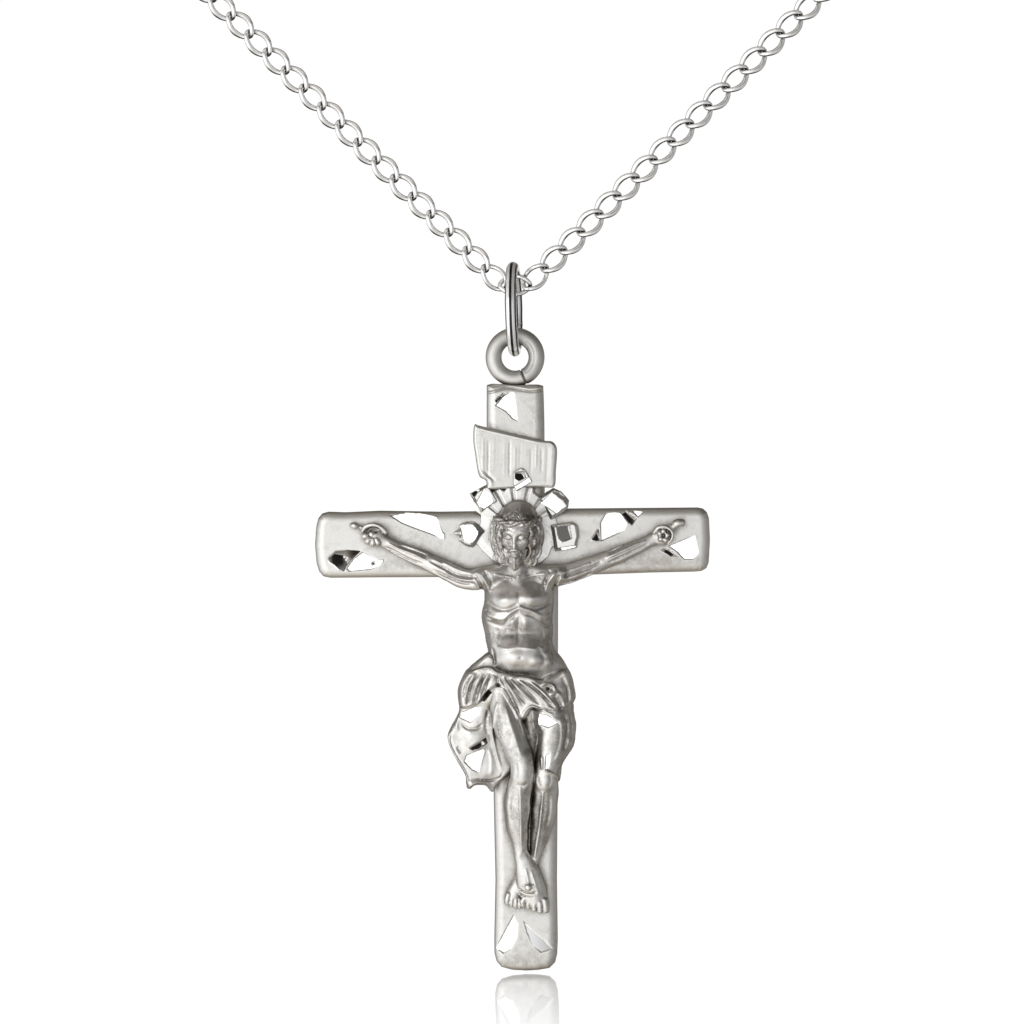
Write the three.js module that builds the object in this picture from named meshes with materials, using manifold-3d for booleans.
// Sterling-silver crucifix pendant with its jump ring and the lower run of a light curb chain.
// Millimetres, +Z up, +X to the viewer's right, the front faces -Y.
// The origin is on the flat back of the cross, where the centre lines of the two beams meet.
import * as THREE from 'three';
import * as BufferGeometryUtils from 'three/addons/utils/BufferGeometryUtils.js';
import Module from 'manifold-3d';

const wasm = await Module();
wasm.setup();

// ---- driving dimensions (mm) ----
const CROSS_T = 1.3;            // thickness of the cross
const EDGE = 0.24;              // rounding of its front and back edges
const UP_L = -1.88, UP_R = 1.84, UP_TOP = 10.1;       // upright above the bar
const LOW_L = -1.92, LOW_R = 2.1, LOW_END = -27.6;    // upright below the bar
const BAR_L = -13.01, BAR_R = 12.38, BAR_TOP = 2.1, BAR_BOT = -2.08;
const END_R = 0.75;             // corner radius of the beam ends
const GAP = 0.03;               // clearance between soldered pieces

const EYE_Z = 11.86, EYE_R = 1.383, EYE_WIRE = 0.517, MID_Y = -0.62;   // eye on top of the cross
const RING_TOP = 17.99, RING_BOT = 11.9, RING_WIRE = 0.365, RING_TURN = 4.5;  // jump ring
const RING_X = -0.02;
const SLIT = 0.05;              // where the ring's wire ends butt together

const LEAN = 1.0;               // the chain hangs this many degrees off the line of the cross
const LINK_A = 0.979, LINK_B = 0.593, LINK_WIRE = 0.145;  // link half length, half width, wire radius
const LINK_TWIST = 45;          // twist of each end bow
const PITCH = 1.6464;           // link to link
const RUN_ANGLE = 44.84;        // each run of chain above the horizontal
const RUN = 17;                 // links in each run
const MID_X = -0.2117, MID_Z = 16.49;   // middle link, in the leaning frame
const FIRST_IN = 0.1, FIRST_ROLL = 6, FIRST_SHIFT = [0, -0.029, 0.011];  // how the first link seats where a run leaves the middle link
const FRONT = -CROSS_T;

// ---- helpers ----
const rad = THREE.MathUtils.degToRad;
function clean(geometry) {
  const g = geometry.clone();
  g.deleteAttribute('normal');
  g.deleteAttribute('uv');
  return BufferGeometryUtils.mergeVertices(g, 1e-5);
}
function solid(geometry) {
  const g = clean(geometry);
  return new wasm.Manifold(new wasm.Mesh({
    numProp: 3,
    vertProperties: new Float32Array(g.attributes.position.array),
    triVerts: new Uint32Array(g.index.array),
  }));
}
function geometryOf(manifold) {
  const m = manifold.getMesh();
  const g = new THREE.BufferGeometry();
  g.setAttribute('position', new THREE.BufferAttribute(new Float32Array(m.vertProperties), 3));
  g.setIndex(new THREE.BufferAttribute(new Uint32Array(m.triVerts), 1));
  g.computeVertexNormals();
  return g;
}
const union = (list) => list.reduce((a, b) => a.add(b));

// A closed outline in X and Z, extruded from y = back towards the front.
function plate(points, back, thick, bevel = 0) {
  const shape = new THREE.Shape(points.map(([x, z]) => new THREE.Vector2(x, z)));
  const g = new THREE.ExtrudeGeometry(shape, {
    depth: thick - 2 * bevel, bevelEnabled: bevel > 0, bevelThickness: bevel,
    bevelSize: bevel, bevelOffset: -bevel, bevelSegments: 2, curveSegments: 5,
  });
  g.translate(0, 0, bevel);
  g.rotateX(Math.PI / 2);
  g.translate(0, back, 0);
  return g;
}
// Rounds the corner at b, between a and c.
function corner(a, b, c, r, n = 4) {
  const A = new THREE.Vector2(...a), B = new THREE.Vector2(...b), C = new THREE.Vector2(...c);
  const p = A.clone().sub(B).setLength(r).add(B), q = C.clone().sub(B).setLength(r).add(B);
  const curve = new THREE.QuadraticBezierCurve(p, B, q);
  return curve.getPoints(n).map((v) => [v.x, v.y]);
}
// A limb: a lathe bent along a curve. rows are [x, y, z, half width, half depth].
function limb(rows, around = 12, steps = 3, side = new THREE.Vector3(1, 0, 0)) {
  const centre = new THREE.CatmullRomCurve3(rows.map((r) => new THREE.Vector3(r[0], r[1], r[2])));
  const size = new THREE.CatmullRomCurve3(rows.map((r) => new THREE.Vector3(r[3], r[4], 0)));
  const n = (rows.length - 1) * steps;
  const profile = [[0, 0], [0.55, 0.0], [0.88, 0.4 / n]];
  for (let i = 1; i < n; i++) profile.push([1, i / n]);
  profile.push([0.88, 1 - 0.4 / n], [0.55, 1], [0, 1]);
  const g = new THREE.LatheGeometry(profile.map(([r, h]) => new THREE.Vector2(r, h)), around);
  const p = g.attributes.position;
  const v = new THREE.Vector3();
  for (let i = 0; i < p.count; i++) {
    v.fromBufferAttribute(p, i);
    const t = THREE.MathUtils.clamp(v.y, 0, 1);
    const c = centre.getPoint(t), s = size.getPoint(t), d = centre.getTangent(t);
    const rho = Math.hypot(v.x, v.z);
    const cap = rho < 0.6 ? (t < 0.5 ? -1 : 1) * Math.sqrt(Math.max(0, 1 - rho * rho)) * 0.5 : 0;
    const w = side.clone().addScaledVector(d, -side.dot(d)).normalize();
    const b = new THREE.Vector3().crossVectors(d, w).normalize();
    const q = c.clone().addScaledVector(w, v.x * s.x).addScaledVector(b, v.z * s.y).addScaledVector(d, cap * Math.min(s.x, s.y));
    p.setXYZ(i, q.x, q.y, q.z);
  }
  const m = solid(g);
  return m.volume() < 0 ? solid(flip(g)) : m;
}
function flip(g) {
  const h = clean(g);
  const a = h.index.array;
  for (let i = 0; i < a.length; i += 3) { const t = a[i]; a[i] = a[i + 1]; a[i + 1] = t; }
  return h;
}
function ball(x, y, z, rx, ry, rz, w = 14, h = 10) {
  const g = new THREE.SphereGeometry(1, w, h);
  g.scale(rx, ry, rz);
  g.translate(x, y, z);
  return solid(g);
}
function box(x0, x1, y0, y1, z0, z1) {
  const g = new THREE.BoxGeometry(x1 - x0, y1 - y0, z1 - z0);
  g.translate((x0 + x1) / 2, (y0 + y1) / 2, (z0 + z1) / 2);
  return solid(g);
}

// ---- finishes ----
const satin = () => new THREE.MeshStandardMaterial({ color: 0xc9c8c4, roughness: 0.42, metalness: 1 });
const aged = () => new THREE.MeshStandardMaterial({ color: 0xa9a69f, roughness: 0.38, metalness: 1 });
const polished = () => new THREE.MeshStandardMaterial({ color: 0xd8d8d8, roughness: 0.12, metalness: 1 });
const chainFinish = () => new THREE.MeshStandardMaterial({ color: 0xd0d0d0, roughness: 0.2, metalness: 1 });

const part = new THREE.Group();
function add(parent, name, geometry, material) {
  const m = new THREE.Mesh(geometry, material);
  m.name = name;
  parent.add(m);
  return m;
}

// ---- the cross ----
const outline = [
  ...corner([UP_L, 4], [UP_L, UP_TOP], [0, UP_TOP], 0.35, 2),
  ...corner([0, UP_TOP], [UP_R, UP_TOP], [UP_R, 4], 0.35, 2),
  [UP_R, BAR_TOP],
  ...corner([0, BAR_TOP - 0.07], [BAR_R, BAR_TOP - 0.07], [BAR_R, 0], END_R, 4),
  ...corner([BAR_R, 0], [BAR_R, BAR_BOT], [0, BAR_BOT], END_R, 4),
  [LOW_R - 0.08, BAR_BOT],
  ...corner([LOW_R, -10], [LOW_R, LOW_END + 0.14], [1.2, LOW_END], END_R, 4),
  [0.09, LOW_END],
  ...corner([-1, LOW_END], [LOW_L, LOW_END + 0.14], [LOW_L, -10], END_R, 4),
  [LOW_L + 0.06, BAR_BOT],
  ...corner([0, BAR_BOT], [BAR_L, BAR_BOT], [BAR_L, 0], END_R, 4),
  ...corner([BAR_L, 0], [BAR_L, BAR_TOP + 0.05], [0, BAR_TOP + 0.05], END_R, 4),
  [UP_L, BAR_TOP],
];
const eyeGeometry = (grow = 0) => {
  const g = new THREE.TorusGeometry(EYE_R, EYE_WIRE + grow, 9, 26);
  g.rotateX(Math.PI / 2);
  g.translate(0, MID_Y, EYE_Z);
  return g;
};
const collar = plate([[UP_L + 0.02, UP_TOP - 0.62], [UP_R - 0.02, UP_TOP - 0.5], [UP_R - 0.05, UP_TOP - 0.14], [0.5, UP_TOP - 0.22], [-0.6, UP_TOP - 0.1], [UP_L + 0.05, UP_TOP - 0.2]], FRONT + 0.2, 0.36, 0.08);
// Bright cuts: shallow flats milled into the front, each a tilted slab.
function cut(x, z, w, h, spin, tilt, deep) {
  const g = new THREE.BoxGeometry(w, 1, h);
  g.translate(0, -0.5, 0);
  g.rotateX(rad(tilt));
  g.rotateY(rad(spin));
  g.translate(x, FRONT + deep, z);
  return solid(g);
}
const cross = solid(plate(outline, 0, CROSS_T, EDGE)).add(solid(collar))
  .subtract(solid(eyeGeometry(0.02)))
  .subtract(cut(-0.75, 8.55, 1.4, 1.8, 20, 7, 0.08))
  .subtract(cut(-10.5, -1.1, 3.0, 1.2, -12, 10, 0.08))
  .subtract(cut(-6.2, 0.95, 3.6, 1.5, 18, -9, 0.08))
  .subtract(cut(6.0, 1.2, 2.6, 1.3, -24, -9, 0.08))
  .subtract(cut(10.9, -0.7, 1.7, 1.4, 25, 9, 0.08))
  .subtract(cut(-0.75, -25.3, 1.3, 2.3, 22, 9, 0.07))
  .subtract(cut(1.05, -25.2, 1.5, 2.0, -24, 9, 0.07));
add(part, 'cross', geometryOf(cross), satin());

// ---- eye soldered to the top ----
add(part, 'bail_eye', eyeGeometry(), satin());

// ---- nimbus: a star of five rays behind the head ----
const NIM_X = -0.04, NIM_Z = 0.67;
function star(grow) {
  const rays = [[90, 4.2], [128, 3.75], [180, 4.3], [52, 3.7], [0, 4.35], [-24, 3.3], [204, 3.3]];
  rays.sort((p, q) => p[0] - q[0]);
  const pts = [];
  rays.forEach(([deg, r], i) => {
    const half = 13;
    pts.push([deg - half, r - 0.35 + grow], [deg, r + grow], [deg + half, r - 0.35 + grow]);
    const next = rays[(i + 1) % rays.length][0] + (i + 1 === rays.length ? 360 : 0);
    if (next - deg > 30 && next - deg < 120) pts.push([(deg + next) / 2, 3.0 + grow]);
  });
  pts.push([270, 2.2 + grow]);
  pts.sort((p, q) => p[0] - q[0]);
  return pts.map(([deg, r]) => [NIM_X + r * Math.cos(rad(deg)), NIM_Z + r * Math.sin(rad(deg))]);
}
const NIM_T = 0.42;
add(part, 'nimbus', geometryOf(solid(plate(star(0), FRONT - GAP, NIM_T, 0.1))), satin());
const nimbusRoom = solid(plate(star(GAP), FRONT + 0.05, NIM_T + 0.05 + 2 * GAP));

// ---- title scroll: a fluted plaque with rolled ends, without lettering ----
const scroll = solid(plate([[-2.68, 7.5], [0, 6.92], [1.75, 6.5], [2.35, 6.4], [2.62, 5.8], [2.45, 3.3], [-2.0, 3.3], [-2.06, 4.05], [-2.45, 4.4], [-2.62, 6.0]], FRONT - GAP, 0.45, 0.1));
add(part, 'title_scroll', geometryOf(scroll.subtract(nimbusRoom)), satin());

// ---- corpus ----
const torso = limb([
  [-0.1, -2.1, -1.0, 0.62, 0.55], [-0.12, -2.2, -2.1, 1.7, 0.75], [-0.05, -2.3, -3.2, 2.1, 1.0],
  [-0.02, -2.25, -4.4, 2.05, 0.95], [0.05, -2.15, -5.8, 1.85, 0.8], [0.1, -2.25, -7.0, 1.9, 0.85], [0, -2.3, -8.4, 2.2, 0.95],
], 12, 2);
const across = new THREE.Vector3(0, 0, 1);
const armL = limb([
  [-0.8, -2.1, -2.9, 1.0, 0.7], [-2.4, -2.1, -2.75, 0.85, 0.62], [-4.4, -1.95, -2.0, 0.62, 0.5],
  [-6.4, -1.9, -1.05, 0.52, 0.45], [-8.3, -1.8, 0.0, 0.4, 0.38], [-9.2, -1.75, 0.45, 0.42, 0.36],
], 8, 1, across);
const armR = limb([
  [0.6, -2.1, -2.9, 1.0, 0.7], [2.3, -2.1, -2.7, 0.8, 0.62], [4.1, -1.95, -2.05, 0.6, 0.5],
  [6.0, -1.9, -1.15, 0.5, 0.45], [7.9, -1.8, -0.15, 0.4, 0.38], [8.9, -1.75, 0.3, 0.42, 0.36],
], 8, 1, across);
const hands = [
  ball(-9.35, -1.75, 0.6, 0.62, 0.42, 0.6, 8, 6), limb([[-9.3, -1.7, 0.8, 0.22, 0.22], [-9.95, -1.65, 1.15, 0.2, 0.2], [-10.6, -1.6, 1.25, 0.14, 0.14]], 6, 1, across),
  ball(9.1, -1.75, 0.4, 0.62, 0.42, 0.6, 8, 6), limb([[9.1, -1.7, 0.6, 0.22, 0.22], [9.6, -1.65, 0.95, 0.2, 0.2], [10.2, -1.6, 1.1, 0.14, 0.14]], 6, 1, across),
];
const head = [
  ball(-0.15, -2.75, 0.75, 1.1, 1.15, 1.45, 12, 9),                  // skull
  ball(-0.15, -2.35, 1.1, 1.55, 0.95, 1.3, 12, 7),                   // hair
  limb([[-1.3, -2.3, 1.1, 0.5, 0.5], [-1.55, -2.3, -0.2, 0.48, 0.5], [-1.45, -2.25, -1.6, 0.3, 0.35]], 7, 1),
  limb([[1.0, -2.3, 1.1, 0.5, 0.5], [1.3, -2.3, -0.2, 0.48, 0.5], [1.2, -2.25, -1.6, 0.3, 0.35]], 7, 1),
  ball(-0.15, -2.95, -0.75, 0.6, 0.62, 0.85, 8, 6),                  // beard
];
const crown = new THREE.TorusGeometry(1.15, 0.2, 5, 14);
crown.rotateX(rad(12));
crown.translate(-0.15, -2.55, 1.5);
head.push(solid(crown));
const cloth = limb([
  [0.05, -2.3, -6.9, 1.75, 0.9], [-0.1, -2.4, -8.2, 3.1, 1.05], [-0.3, -2.3, -9.6, 3.5, 1.05], [-0.4, -2.1, -10.8, 3.3, 0.8],
], 14, 2);
const panels = [
  limb([[-2.6, -2.1, -8.6, 0.8, 0.6], [-3.0, -2.05, -10.6, 1.2, 0.6], [-3.2, -2.0, -12.4, 1.45, 0.55], [-2.9, -1.9, -14.3, 1.35, 0.45], [-2.6, -1.8, -15.7, 1.0, 0.32]], 10, 1),
  limb([[1.9, -2.3, -8.6, 1.2, 0.9], [2.2, -2.4, -11.0, 1.3, 0.95], [2.2, -2.35, -13.0, 1.25, 0.85], [1.9, -2.2, -14.8, 0.9, 0.7]], 10, 1),
];
const legs = [
  limb([[-0.9, -2.7, -9.0, 1.05, 0.9], [-0.3, -3.15, -12.2, 0.95, 0.9], [0.15, -3.5, -15.0, 0.72, 0.72], [-0.2, -2.9, -17.4, 0.72, 0.68], [-0.1, -2.4, -20.2, 0.4, 0.42], [0.2, -2.35, -21.5, 0.55, 0.42], [0.5, -2.1, -23.1, 0.72, 0.34]], 10, 1),
  limb([[1.5, -2.5, -9.0, 1.15, 0.9], [1.7, -2.8, -12.6, 1.0, 0.9], [1.5, -2.95, -15.0, 0.8, 0.75], [1.3, -2.35, -17.5, 0.75, 0.7], [0.75, -1.95, -20.2, 0.42, 0.4], [0.0, -1.85, -21.6, 0.5, 0.3], [-0.75, -1.8, -23.2, 0.5, 0.26]], 10, 1),
];
const toes = [];
for (let i = 0; i < 5; i++) toes.push(ball(-0.05 + 0.32 * i, -2.0, -23.5 - 0.05 * i, 0.17, 0.24, 0.24, 6, 4));
let corpus = union([torso, armL, armR, ...hands, ...head, cloth, ...panels, ...legs, ...toes]);

// nails: a domed head and a shank through the hand or the feet
function nail(x, z, frontY, headR) {
  const L = FRONT - GAP - frontY;
  const profile = [[0, -0.12], [headR * 0.6, -0.09], [headR, 0], [headR, 0.06], [0.11, 0.1], [0.11, L - 0.02], [0.08, L], [0, L]];
  const g = new THREE.LatheGeometry(profile.map(([r, h]) => new THREE.Vector2(r, h)), 10);
  g.translate(0, frontY, 0);
  const grown = new THREE.LatheGeometry([[0, -0.5], [headR + 0.03, -0.5], [headR + 0.03, 0.09], [0.14, 0.13], [0.14, L + 0.3], [0, L + 0.3]].map(([r, h]) => new THREE.Vector2(r, h)), 10);
  grown.translate(0, frontY, 0);
  g.translate(x, 0, z);
  grown.translate(x, 0, z);
  const a = solid(g), b = solid(grown);
  return [a.volume() < 0 ? solid(flip(g)) : a, b.volume() < 0 ? solid(flip(grown)) : b];
}
const nails = [
  ['nail_hand_left', nail(-9.35, 0.62, -2.17, 0.24)],
  ['nail_hand_right', nail(9.1, 0.42, -2.17, 0.24)],
  ['nail_feet', nail(0.25, -22.0, -2.74, 0.26)],
];
corpus = corpus.subtract(box(-14, 14, FRONT - GAP, 2, -29, 12)).subtract(nimbusRoom);
for (const [, [, room]] of nails) corpus = corpus.subtract(room);
const bits = corpus.decompose().sort((p, q) => q.volume() - p.volume());
add(part, 'corpus', geometryOf(bits[0]), aged());
for (const [name, [n]] of nails) add(part, name, geometryOf(n), satin());

// ---- jump ring ----
const ringR = (RING_TOP - RING_BOT) / 2 - RING_WIRE;
const ringG = new THREE.TorusGeometry(ringR, RING_WIRE, 8, 28);
const slitG = new THREE.BoxGeometry(2, SLIT, 2);
slitG.rotateZ(rad(0));
slitG.translate(ringR, 0, 0);
slitG.rotateZ(rad(200));
let ring = geometryOf(solid(ringG).subtract(solid(slitG)));
ring.rotateY(Math.PI / 2);
const ringGroup = new THREE.Group();
ringGroup.rotation.z = rad(-RING_TURN);
ringGroup.position.set(RING_X, MID_Y, (RING_TOP + RING_BOT) / 2);
part.add(ringGroup);
add(ringGroup, 'jump_ring', ring, polished());

// ---- curb chain ----
class LinkCurve extends THREE.Curve {
  getPoint(t, target = new THREE.Vector3()) {
    const s = t * 2 * Math.PI, phi = rad(LINK_TWIST) * Math.cos(s);
    return target.set(LINK_A * Math.cos(s), -LINK_B * Math.sin(s) * Math.sin(phi), LINK_B * Math.sin(s) * Math.cos(phi));
  }
}
const linkG = new THREE.TubeGeometry(new LinkCurve(), 16, LINK_WIRE, 6, true);
const chain = new THREE.Group();
chain.rotation.y = rad(LEAN);
part.add(chain);
const middle = new THREE.Group();
middle.position.set(MID_X, MID_Y, MID_Z);
chain.add(middle);
add(middle, 'chain_center', linkG, chainFinish());
// Both runs are the same; the left one is turned half round about the vertical.
const half = PITCH / 2;
for (const side of ['left', 'right']) {
  const run = new THREE.Group();
  run.rotation.z = side === 'left' ? Math.PI : 0;
  middle.add(run);
  const c = Math.cos(rad(RUN_ANGLE)), s = Math.sin(rad(RUN_ANGLE));
  for (let i = 1; i <= RUN; i++) {
    const along = half + PITCH * (i - 1) - FIRST_IN;
    const m = add(run, `chain_${side}_${String(i).padStart(2, '0')}`, linkG, chainFinish());
    const [dx, dy, dz] = i === 1 ? FIRST_SHIFT : [0, 0, 0];
    m.position.set(half + along * c + dx * c - dz * s, dy, along * s + dx * s + dz * c);
    m.rotation.set(i === 1 ? rad(FIRST_ROLL) : 0, -rad(RUN_ANGLE), 0, 'YXZ');
  }
}

export default part;
